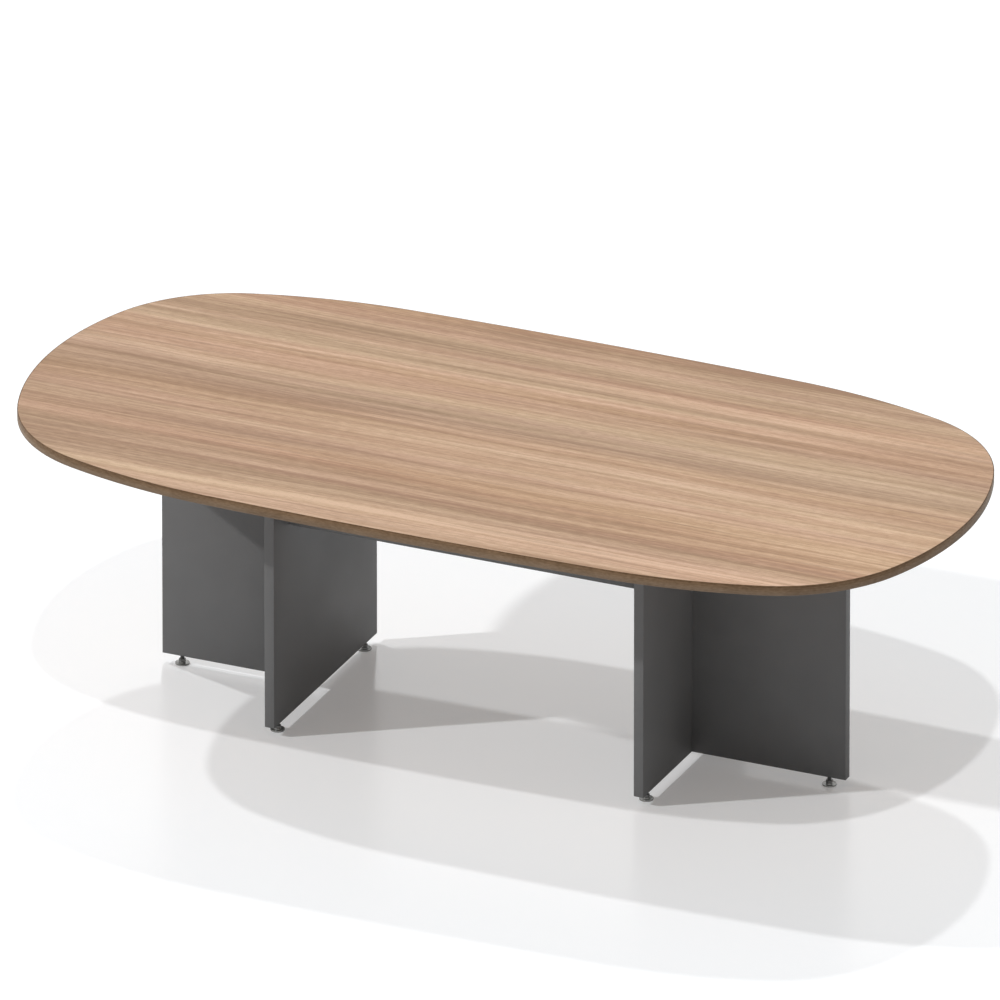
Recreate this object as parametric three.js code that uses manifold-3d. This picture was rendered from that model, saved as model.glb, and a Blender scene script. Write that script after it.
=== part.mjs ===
// A conference table: a barrel-shaped board top with a lipped edge on two T-shaped panel legs,
// braced by two rails, held together by cam fittings and dowels, and levelled by six screw feet.
// Millimetres, +Z up, +X along the table, with the origin on the floor under the middle of the top.
import * as THREE from "three";
import { mergeVertices } from "three/addons/utils/BufferGeometryUtils.js";
import Module from "manifold-3d";

// Table top
const TABLE_HEIGHT = 750;
const TOP_LENGTH = 2400;
const TOP_WIDTH = 1200;
const TOP_THICKNESS = 25;
const EDGE_BAND = 2;
const GLUE_LINE = 0.2;

// Outline of the top: a corner arc, then a wider shoulder arc that eases it into the long side
const CORNER_RADIUS = 392;
const CORNER_FROM_END = 420;
const CORNER_FROM_SIDE = 449;
const SHOULDER_RADIUS = 1430;
const SHOULDER_START = THREE.MathUtils.degToRad(72.3);

// T-shaped legs and rails
const PANEL_THICKNESS = 25;
const CROSS_PANEL_WIDTH = 600;
const STEM_LENGTH = 400;
const RAIL_LENGTH = 940;
const RAIL_HEIGHT = 200;
const RAIL_THICKNESS = 25;
const RAIL_SPACING = 400;

// Levelling feet
const FOOT_HEIGHT = 25;
const FOOT_INSET = 47;
const PAD_DIAMETER = 35;
const PAD_RIM = 4;
const PAD_THICKNESS = 7;
const PAD_FLOOR = 3;
const PAD_BEVEL = 0.8;
const BOSS_WALL = 2.7;
const STUD_DIAMETER = 10;
const STUD_LENGTH = 55;
const HEX_ACROSS_FLATS = 15;
const HEX_THICKNESS = 6.5;
const INSERT_WALL = 2.7;
const INSERT_LENGTH = 30;
const RETRACT_MARGIN = 2.2;
const STUD_RUN_OUT = 2;

// Cam fittings and dowels
const CAM_DIAMETER = 15;
const CAM_BELOW_BOLT = 4;
const CAM_SLOT_LENGTH = 9;
const CAM_SLOT_WIDTH = 1.8;
const CAM_SLOT_DEPTH = 2.5;
const BOLT_REACH = 34;
const BOLT_DIAMETER = 7;
const BOLT_NECK_DIAMETER = 5;
const BOLT_NECK_LENGTH = 6;
const BOLT_HEAD_LENGTH = 6;
const BOLT_THREAD_DIAMETER = 6;
const BOLT_THREAD_DEPTH = 11;
const DOWEL_DIAMETER = 8;
const DOWEL_IN_FACE = 12;
const DOWEL_IN_EDGE = 23;
const DOWEL_CHAMFER = 1;

// Places of the fittings
const STEM_CAM_INSET = 140;
const RAIL_CAM_FROM_BOTTOM = 60;
const RAIL_DOWEL_FROM_TOP = 60;
const CROSS_TOP_FIXING = 100;
const STEM_TOP_FIXING = 280;

// Gap round a piece that sits in a bore, and the sides of its facets
const CLEARANCE = 0.3;
const ARC_DIVISIONS = 8;
const PAD_SIDES = 20;
const BORE_SIDES = 16;
const HEX_SIDES = 6;
const SMALL_SIDES = 10;

// Levels and places worked out from the sizes above
const UNDERSIDE = TABLE_HEIGHT - TOP_THICKNESS;
const PANEL_HEIGHT = UNDERSIDE - FOOT_HEIGHT;
const PANEL_MIDDLE = FOOT_HEIGHT + PANEL_HEIGHT / 2;
const CROSS_INNER = RAIL_LENGTH / 2;
const CROSS_MIDDLE = CROSS_INNER + PANEL_THICKNESS / 2;
const CROSS_OUTER = CROSS_INNER + PANEL_THICKNESS;
const STEM_MIDDLE = CROSS_OUTER + STEM_LENGTH / 2;
const STEM_END = CROSS_OUTER + STEM_LENGTH;
const RAIL_MIDDLE = UNDERSIDE - RAIL_HEIGHT / 2;
const INSERT_DIAMETER = STUD_DIAMETER + 2 * (CLEARANCE + INSERT_WALL);
const STUD_BOTTOM = PAD_FLOOR + CLEARANCE;
const STUD_TOP = STUD_BOTTOM + STUD_LENGTH;
const HEX_BOTTOM = PAD_THICKNESS + CLEARANCE;
const HEX_TOP = HEX_BOTTOM + HEX_THICKNESS;
const FOOT_RETRACT = FOOT_HEIGHT - HEX_TOP - RETRACT_MARGIN;

const MATERIALS = {
  wood: new THREE.MeshStandardMaterial({ color: 0xc4a58d, roughness: 0.45, metalness: 0 }),
  edging: new THREE.MeshStandardMaterial({ color: 0x6f553d, roughness: 0.5, metalness: 0 }),
  graphite: new THREE.MeshStandardMaterial({ color: 0x4c4c4d, roughness: 0.5, metalness: 0 }),
  steel: new THREE.MeshStandardMaterial({ color: 0x9a9a98, roughness: 0.35, metalness: 1 }),
  zinc: new THREE.MeshStandardMaterial({ color: 0xb4b4b0, roughness: 0.4, metalness: 1 }),
  beech: new THREE.MeshStandardMaterial({ color: 0xd2b083, roughness: 0.7, metalness: 0 }),
};

const X_AXIS = new THREE.Vector3(1, 0, 0);
const Y_AXIS = new THREE.Vector3(0, 1, 0);
const Z_AXIS = new THREE.Vector3(0, 0, 1);

const SIDES = [
  { name: "left", sign: -1 },
  { name: "right", sign: 1 },
];
const RAILS = [
  { name: "front", sign: -1 },
  { name: "rear", sign: 1 },
];

const wasm = await Module();
wasm.setup();

// A closed geometry as a solid that can be joined and cut.
function toSolid(geometry) {
  const bare = geometry.clone();
  bare.deleteAttribute("normal");
  bare.deleteAttribute("uv");
  const merged = mergeVertices(bare);
  const mesh = new wasm.Mesh({
    numProp: 3,
    vertProperties: merged.attributes.position.array,
    triVerts: new Uint32Array(merged.index.array),
  });
  return new wasm.Manifold(mesh);
}

// A solid as a geometry with flat normals.
function toGeometry(solid) {
  const { vertProperties, triVerts } = solid.getMesh();
  const indexed = new THREE.BufferGeometry();
  indexed.setAttribute("position", new THREE.BufferAttribute(vertProperties, 3));
  indexed.setIndex(new THREE.BufferAttribute(triVerts, 1));
  const flat = indexed.toNonIndexed();
  flat.computeVertexNormals();
  return flat;
}

function cut(geometry, cutters) {
  const solid = cutters.reduce((left, cutter) => left.subtract(toSolid(cutter)), toSolid(geometry));
  return toGeometry(solid);
}

function namedMesh(name, geometry, material) {
  const mesh = new THREE.Mesh(geometry, material);
  mesh.name = name;
  return mesh;
}

// A round bar along +X of a local frame, from one end to the other.
function barAlongX(diameter, from, to, sides) {
  const bar = new THREE.CylinderGeometry(diameter / 2, diameter / 2, to - from, sides);
  return bar.rotateZ(-Math.PI / 2).translate((from + to) / 2, 0, 0);
}

// A round bar along +Z of a local frame, from one end to the other.
function barAlongZ(diameter, from, to, sides) {
  const bar = new THREE.CylinderGeometry(diameter / 2, diameter / 2, to - from, sides);
  return bar.rotateX(Math.PI / 2).translate(0, 0, (from + to) / 2);
}

// A turned piece whose profile is given as pairs of radius and height.
function turnedAlongZ(profile, sides) {
  const points = profile.map(([radius, height]) => new THREE.Vector2(radius, height));
  return new THREE.LatheGeometry(points, sides).rotateX(Math.PI / 2);
}

function turnedAlongX(profile, sides) {
  return turnedAlongZ(profile, sides).rotateY(Math.PI / 2);
}

// The four tangent arcs of one quarter of the top's outline. The corner and shoulder arcs keep their
// radii, and the end arc and the long side's arc are those that touch them and the middle of each side.
function quarterArcs() {
  const end = TOP_LENGTH / 2;
  const side = TOP_WIDTH / 2;
  const corner = new THREE.Vector2(end - CORNER_FROM_END, side - CORNER_FROM_SIDE);
  const ease = new THREE.Vector2(Math.cos(SHOULDER_START), Math.sin(SHOULDER_START));
  const shoulder = corner.clone().addScaledVector(ease, CORNER_RADIUS - SHOULDER_RADIUS);
  const cornerDrop = CORNER_RADIUS ** 2 - (corner.x - end) ** 2 - corner.y ** 2;
  const endRadius = cornerDrop / (2 * (corner.x - end + CORNER_RADIUS));
  const shoulderDrop = SHOULDER_RADIUS ** 2 - shoulder.x ** 2 - (shoulder.y - side) ** 2;
  const sideRadius = shoulderDrop / (2 * (shoulder.y - side + SHOULDER_RADIUS));
  const endCentre = new THREE.Vector2(end - endRadius, 0);
  const sideCentre = new THREE.Vector2(0, side - sideRadius);
  const cornerStart = corner.clone().sub(endCentre).angle();
  const sideStart = shoulder.clone().sub(sideCentre).angle();
  return [
    { centre: endCentre, radius: endRadius, from: 0, to: cornerStart },
    { centre: corner, radius: CORNER_RADIUS, from: cornerStart, to: SHOULDER_START },
    { centre: shoulder, radius: SHOULDER_RADIUS, from: SHOULDER_START, to: sideStart },
    { centre: sideCentre, radius: sideRadius, from: sideStart, to: Math.PI / 2 },
  ];
}

// The top's outline, drawn in by an inset, onto a shape or a path.
function drawOutline(path, inset) {
  const arcs = quarterArcs();
  const back = [...arcs].reverse();
  const turn = Math.PI;
  for (const { centre, radius, from, to } of arcs)
    path.absarc(centre.x, centre.y, radius - inset, from, to);
  for (const { centre, radius, from, to } of back)
    path.absarc(-centre.x, centre.y, radius - inset, turn - to, turn - from);
  for (const { centre, radius, from, to } of arcs)
    path.absarc(-centre.x, -centre.y, radius - inset, turn + from, turn + to);
  for (const { centre, radius, from, to } of back)
    path.absarc(centre.x, -centre.y, radius - inset, 2 * turn - to, 2 * turn - from);
  return path;
}

function extrudedTop(shape) {
  const options = { depth: TOP_THICKNESS, bevelEnabled: false, curveSegments: ARC_DIVISIONS };
  return new THREE.ExtrudeGeometry(shape, options).translate(0, 0, UNDERSIDE);
}

// A fitting's frame: its origin in the joint plane, +X along the bolt from the board that is drilled
// in its face to the board that is drilled in its edge, and +Z towards the face that the cam opens on.
function fittingFrame(origin, along, open) {
  const across = open.clone().cross(along);
  return new THREE.Matrix4().makeBasis(along, across, open).setPosition(origin);
}

function place(mesh, frame) {
  mesh.applyMatrix4(frame);
  return mesh;
}

function camDepth(board) {
  return board / 2 + CAM_BELOW_BOLT;
}

// The cam: a disc flush with its board's face, with a crossed driver slot and a side bore that takes
// the bolt's head.
function camGeometry(board) {
  const face = board / 2;
  const disc = barAlongZ(CAM_DIAMETER, face - camDepth(board), face, BORE_SIDES);
  const mouth = BOLT_DIAMETER + 2 * CLEARANCE;
  const headEnd = BOLT_HEAD_LENGTH / 2 + CLEARANCE;
  const headBore = barAlongX(mouth, -CAM_DIAMETER, headEnd, SMALL_SIDES);
  const slotMiddle = face - CAM_SLOT_DEPTH / 2;
  const past = CAM_SLOT_DEPTH;
  const slots = [
    [CAM_SLOT_LENGTH, CAM_SLOT_WIDTH],
    [CAM_SLOT_WIDTH, CAM_SLOT_LENGTH],
  ].map(([long, wide]) =>
    new THREE.BoxGeometry(long, wide, CAM_SLOT_DEPTH + past).translate(0, 0, slotMiddle + past / 2),
  );
  return cut(disc, [headBore, ...slots]).translate(BOLT_REACH, 0, 0);
}

// The connecting bolt: a threaded tip in one board's face, a shank in the other's edge, then a neck and
// a head that the cam draws on.
function boltGeometry() {
  const headStart = BOLT_REACH - BOLT_HEAD_LENGTH / 2;
  const profile = [
    [0, -BOLT_THREAD_DEPTH],
    [BOLT_THREAD_DIAMETER / 2, -BOLT_THREAD_DEPTH],
    [BOLT_THREAD_DIAMETER / 2, 0],
    [BOLT_DIAMETER / 2, 0],
    [BOLT_DIAMETER / 2, headStart - BOLT_NECK_LENGTH],
    [BOLT_NECK_DIAMETER / 2, headStart - BOLT_NECK_LENGTH],
    [BOLT_NECK_DIAMETER / 2, headStart],
    [BOLT_DIAMETER / 2, headStart],
    [BOLT_DIAMETER / 2, headStart + BOLT_HEAD_LENGTH],
    [0, headStart + BOLT_HEAD_LENGTH],
  ];
  return turnedAlongX(profile, SMALL_SIDES);
}

function dowelGeometry() {
  const radius = DOWEL_DIAMETER / 2;
  const profile = [
    [0, -DOWEL_IN_FACE],
    [radius - DOWEL_CHAMFER, -DOWEL_IN_FACE],
    [radius, -DOWEL_IN_FACE + DOWEL_CHAMFER],
    [radius, DOWEL_IN_EDGE - DOWEL_CHAMFER],
    [radius - DOWEL_CHAMFER, DOWEL_IN_EDGE],
    [0, DOWEL_IN_EDGE],
  ];
  return turnedAlongX(profile, SMALL_SIDES);
}

// A cam fitting: its two pieces, and the bores that it needs in each board.
function camFitting(name, board, frame) {
  const face = board / 2;
  const floor = face - camDepth(board) - CLEARANCE;
  const seat = barAlongZ(CAM_DIAMETER + 2 * CLEARANCE, floor, board, BORE_SIDES);
  const shankBore = barAlongX(BOLT_DIAMETER + 2 * CLEARANCE, -CLEARANCE, BOLT_REACH, SMALL_SIDES);
  const tipBore = barAlongX(
    BOLT_THREAD_DIAMETER + 2 * CLEARANCE,
    -BOLT_THREAD_DEPTH - CLEARANCE,
    CLEARANCE,
    SMALL_SIDES,
  );
  return {
    meshes: [
      place(namedMesh(`${name}_cam`, camGeometry(board), MATERIALS.zinc), frame),
      place(namedMesh(`${name}_bolt`, boltGeometry(), MATERIALS.steel), frame),
    ],
    edgeCuts: [seat.translate(BOLT_REACH, 0, 0), shankBore].map((bore) => bore.applyMatrix4(frame)),
    faceCuts: [tipBore.applyMatrix4(frame)],
  };
}

// A dowel, and its bore in each board.
function dowelFitting(name, frame) {
  const bore = DOWEL_DIAMETER + 2 * CLEARANCE;
  const edgeBore = barAlongX(bore, -CLEARANCE, DOWEL_IN_EDGE + CLEARANCE, SMALL_SIDES);
  const faceBore = barAlongX(bore, -DOWEL_IN_FACE - CLEARANCE, CLEARANCE, SMALL_SIDES);
  return {
    meshes: [place(namedMesh(`${name}_dowel`, dowelGeometry(), MATERIALS.beech), frame)],
    edgeCuts: [edgeBore.applyMatrix4(frame)],
    faceCuts: [faceBore.applyMatrix4(frame)],
  };
}

// The fittings that hold a leg's stem to its cross panel. Their cams open to the rear.
function stemFittings(side) {
  const along = X_AXIS.clone().multiplyScalar(side.sign);
  const frameAt = (level) =>
    fittingFrame(new THREE.Vector3(side.sign * CROSS_OUTER, 0, level), along, Y_AXIS);
  return [
    camFitting(`${side.name}_stem_lower`, PANEL_THICKNESS, frameAt(FOOT_HEIGHT + STEM_CAM_INSET)),
    camFitting(`${side.name}_stem_upper`, PANEL_THICKNESS, frameAt(UNDERSIDE - STEM_CAM_INSET)),
    dowelFitting(`${side.name}_stem`, frameAt(PANEL_MIDDLE)),
  ];
}

// The fittings that hold one end of a rail to a cross panel. The cam opens between the two rails.
function railFittings(rail, side) {
  const name = `${rail.name}_rail_${side.name}`;
  const along = X_AXIS.clone().multiplyScalar(-side.sign);
  const open = Y_AXIS.clone().multiplyScalar(-rail.sign);
  const frameAt = (level) => {
    const y = (rail.sign * RAIL_SPACING) / 2;
    return fittingFrame(new THREE.Vector3(side.sign * CROSS_INNER, y, level), along, open);
  };
  return [
    camFitting(name, RAIL_THICKNESS, frameAt(UNDERSIDE - RAIL_HEIGHT + RAIL_CAM_FROM_BOTTOM)),
    dowelFitting(name, frameAt(UNDERSIDE - RAIL_DOWEL_FROM_TOP)),
  ];
}

// The fittings that draw the top down onto a cross panel. Their cams open between the two rails.
function crossTopFittings(side) {
  const down = Z_AXIS.clone().negate();
  const open = X_AXIS.clone().multiplyScalar(-side.sign);
  return RAILS.map((half) => {
    const y = half.sign * CROSS_TOP_FIXING;
    const frame = fittingFrame(new THREE.Vector3(side.sign * CROSS_MIDDLE, y, UNDERSIDE), down, open);
    return camFitting(`${side.name}_${half.name}_top`, PANEL_THICKNESS, frame);
  });
}

// The fitting that draws the top down onto a stem. Its cam opens to the rear.
function stemTopFittings(side) {
  const down = Z_AXIS.clone().negate();
  const x = side.sign * (CROSS_OUTER + STEM_TOP_FIXING);
  const frame = fittingFrame(new THREE.Vector3(x, 0, UNDERSIDE), down, Y_AXIS);
  return [camFitting(`${side.name}_stem_top`, PANEL_THICKNESS, frame)];
}

// The pad: a bevelled disc with a boss in its middle, whose socket takes the stud's round end.
function padGeometry() {
  const radius = PAD_DIAMETER / 2;
  const socket = STUD_DIAMETER / 2 + CLEARANCE;
  const boss = socket + BOSS_WALL;
  const profile = [
    [0, 0],
    [radius - PAD_BEVEL, 0],
    [radius, PAD_BEVEL],
    [radius, PAD_RIM - PAD_BEVEL],
    [radius - PAD_BEVEL, PAD_RIM],
    [boss, PAD_RIM],
    [boss, PAD_THICKNESS],
    [socket, PAD_THICKNESS],
    [socket, PAD_FLOOR],
    [0, PAD_FLOOR],
  ];
  return turnedAlongZ(profile, PAD_SIDES);
}

// The stud: a screw with a hexagon collar that an open spanner turns.
function studGeometry() {
  const shank = barAlongZ(STUD_DIAMETER, STUD_BOTTOM, STUD_TOP, BORE_SIDES);
  const acrossCorners = HEX_ACROSS_FLATS / Math.cos(Math.PI / HEX_SIDES);
  const hexagon = barAlongZ(acrossCorners, HEX_BOTTOM, HEX_TOP, HEX_SIDES);
  return toGeometry(toSolid(shank).add(toSolid(hexagon)));
}

function insertGeometry() {
  const inner = STUD_DIAMETER / 2 + CLEARANCE;
  const outer = INSERT_DIAMETER / 2;
  const profile = [
    [inner, FOOT_HEIGHT],
    [outer, FOOT_HEIGHT],
    [outer, FOOT_HEIGHT + INSERT_LENGTH],
    [inner, FOOT_HEIGHT + INSERT_LENGTH],
    [inner, FOOT_HEIGHT],
  ];
  return turnedAlongZ(profile, BORE_SIDES);
}

// A levelling foot: its three pieces, and the bores that it needs in its panel's bottom edge.
function levellingFoot(name, x, y) {
  const foot = new THREE.Group();
  foot.position.set(x, y, 0);
  foot.add(
    namedMesh(`${name}_foot_pad`, padGeometry(), MATERIALS.steel),
    namedMesh(`${name}_foot_stud`, studGeometry(), MATERIALS.steel),
    namedMesh(`${name}_foot_insert`, insertGeometry(), MATERIALS.zinc),
  );
  const start = FOOT_HEIGHT - CLEARANCE;
  const seatEnd = FOOT_HEIGHT + INSERT_LENGTH + CLEARANCE;
  const runOutEnd = STUD_TOP + FOOT_RETRACT + STUD_RUN_OUT;
  const seat = barAlongZ(INSERT_DIAMETER + 2 * CLEARANCE, start, seatEnd, BORE_SIDES);
  const runOut = barAlongZ(STUD_DIAMETER + 2 * CLEARANCE, start, runOutEnd, BORE_SIDES);
  return { meshes: [foot], edgeCuts: [seat, runOut].map((bore) => bore.translate(x, y, 0)) };
}

function crossFeet(side) {
  return RAILS.map((half) => {
    const y = half.sign * (CROSS_PANEL_WIDTH / 2 - FOOT_INSET);
    return levellingFoot(`${side.name}_${half.name}`, side.sign * CROSS_MIDDLE, y);
  });
}

function stemFeet(side) {
  return [levellingFoot(`${side.name}_stem`, side.sign * (STEM_END - FOOT_INSET), 0)];
}

// A board with its bores, whose cutters are given in the table's frame.
function drilledBoard(name, size, centre, cutters) {
  const local = cutters.map((cutter) => cutter.clone().translate(-centre.x, -centre.y, -centre.z));
  const board = namedMesh(name, cut(new THREE.BoxGeometry(...size), local), MATERIALS.graphite);
  board.position.copy(centre);
  return board;
}

function edgeCutsOf(fittings) {
  return fittings.flatMap((fitting) => fitting.edgeCuts);
}

function faceCutsOf(fittings) {
  return fittings.flatMap((fitting) => fitting.faceCuts);
}

function meshesOf(fittings) {
  return fittings.flatMap((fitting) => fitting.meshes);
}

// One T-shaped leg: a cross panel and a stem that points outwards, with its feet and fittings.
function tableLeg(side, railEnds) {
  const joints = stemFittings(side);
  const crossTop = crossTopFittings(side);
  const stemTop = stemTopFittings(side);
  const crossFoot = crossFeet(side);
  const stemFoot = stemFeet(side);
  const crossPanel = drilledBoard(
    `${side.name}_cross_panel`,
    [PANEL_THICKNESS, CROSS_PANEL_WIDTH, PANEL_HEIGHT],
    new THREE.Vector3(side.sign * CROSS_MIDDLE, 0, PANEL_MIDDLE),
    [...faceCutsOf([...joints, ...railEnds]), ...edgeCutsOf([...crossTop, ...crossFoot])],
  );
  const stemPanel = drilledBoard(
    `${side.name}_stem_panel`,
    [STEM_LENGTH, PANEL_THICKNESS, PANEL_HEIGHT],
    new THREE.Vector3(side.sign * STEM_MIDDLE, 0, PANEL_MIDDLE),
    edgeCutsOf([...joints, ...stemTop, ...stemFoot]),
  );
  const leg = new THREE.Group();
  leg.add(crossPanel, stemPanel);
  leg.add(...meshesOf([...joints, ...crossTop, ...stemTop, ...crossFoot, ...stemFoot]));
  return { leg, topFittings: [...crossTop, ...stemTop] };
}

// A rail between the cross panels, with the fittings at its two ends.
function tableRail(rail, ends) {
  const centre = new THREE.Vector3(0, (rail.sign * RAIL_SPACING) / 2, RAIL_MIDDLE);
  const size = [RAIL_LENGTH, RAIL_THICKNESS, RAIL_HEIGHT];
  const group = new THREE.Group();
  group.add(drilledBoard(`${rail.name}_rail`, size, centre, edgeCutsOf(ends)), ...meshesOf(ends));
  return group;
}

// The top: the board, drilled from below for the cam bolts, and the lipping round its edge.
function tableTop(topFittings) {
  const board = extrudedTop(drawOutline(new THREE.Shape(), EDGE_BAND + GLUE_LINE));
  const ring = drawOutline(new THREE.Shape(), 0);
  ring.holes.push(drawOutline(new THREE.Path(), EDGE_BAND));
  const group = new THREE.Group();
  group.add(
    namedMesh("table_top", cut(board, faceCutsOf(topFittings)), MATERIALS.wood),
    namedMesh("top_edge_band", extrudedTop(ring), MATERIALS.edging),
  );
  return group;
}

const table = new THREE.Group();
const railEnds = RAILS.flatMap((rail) =>
  SIDES.map((side) => ({ rail, side, fittings: railFittings(rail, side) })),
);
const legs = SIDES.map((side) =>
  tableLeg(side, railEnds.filter((end) => end.side === side).flatMap((end) => end.fittings)),
);
const rails = RAILS.map((rail) =>
  tableRail(rail, railEnds.filter((end) => end.rail === rail).flatMap((end) => end.fittings)),
);
table.add(...legs.map((entry) => entry.leg), ...rails);
table.add(tableTop(legs.flatMap((entry) => entry.topFittings)));

export default table;
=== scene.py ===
"""A conference table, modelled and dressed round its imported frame.

A barrel-shaped wood-decor top with a brown lipping stands on two T-shaped graphite legs that two rails
brace. Cam fittings and dowels hold the boards together, and six screw feet level the table. Sizes are in
metres, with the origin on the floor under the middle of the top and +X along the table.
"""
from __future__ import annotations

import logging
import math
from contextlib import contextmanager
from dataclasses import dataclass, field, replace
from enum import Enum
from typing import Any, Callable, ClassVar, Iterable, Iterator, Optional, Sequence, Union

import bmesh
import bpy
from mathutils import Matrix, Vector


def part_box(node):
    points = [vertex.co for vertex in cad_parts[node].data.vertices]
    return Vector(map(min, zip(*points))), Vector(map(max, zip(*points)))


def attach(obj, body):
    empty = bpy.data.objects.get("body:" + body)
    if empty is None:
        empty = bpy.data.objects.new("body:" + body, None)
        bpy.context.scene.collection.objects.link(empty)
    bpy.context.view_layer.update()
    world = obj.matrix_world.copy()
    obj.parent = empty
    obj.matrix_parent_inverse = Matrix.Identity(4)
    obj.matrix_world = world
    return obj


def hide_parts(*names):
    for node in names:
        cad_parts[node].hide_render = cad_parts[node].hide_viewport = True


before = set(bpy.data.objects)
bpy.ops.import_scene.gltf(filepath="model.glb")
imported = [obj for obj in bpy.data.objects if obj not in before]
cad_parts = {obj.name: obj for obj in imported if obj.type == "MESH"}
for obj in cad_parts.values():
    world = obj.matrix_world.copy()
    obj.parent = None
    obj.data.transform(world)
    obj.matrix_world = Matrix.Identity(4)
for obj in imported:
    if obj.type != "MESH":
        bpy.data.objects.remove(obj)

LOG = logging.getLogger("conference_table")
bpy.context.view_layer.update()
MM = 0.001
TINY = 1e-6
LEVEL_NORMAL = 0.9
TABLE_BODY = "table"
LIE_DOWN = Matrix.Rotation(math.pi / 2, 4, "Y")

Profile = Sequence[tuple[float, float]]
Tone = tuple[int, int, int]
Tint = tuple[float, float, float, float]
Stops = Sequence[tuple[float, Tone]]
Span = tuple[float, float]
Socket = bpy.types.NodeSocket
Node = bpy.types.Node
Value = Union[Socket, float]
Piece = bpy.types.Object


class Element(Enum):
    """The kinds of mesh element that can be selected in edit mode."""

    VERT = "VERT"
    EDGE = "EDGE"
    FACE = "FACE"


class Named(Enum):
    """A choice whose word stands in the names of nodes and pieces."""

    @property
    def label(self) -> str:
        """The choice's word."""
        return self.name.lower()


class Side(Named):
    """The ends of the table, with the sign of their X."""

    LEFT = -1
    RIGHT = 1


class Half(Named):
    """The long sides of the table, with the sign of their Y."""

    FRONT = -1
    REAR = 1


class BoardEdge(Named):
    """The edges of a board that can carry a banding strip, as an axis and the way it faces."""

    LEFT = (0, -1)
    RIGHT = (0, 1)
    FRONT = (1, -1)
    REAR = (1, 1)
    BOTTOM = (2, -1)


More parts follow.
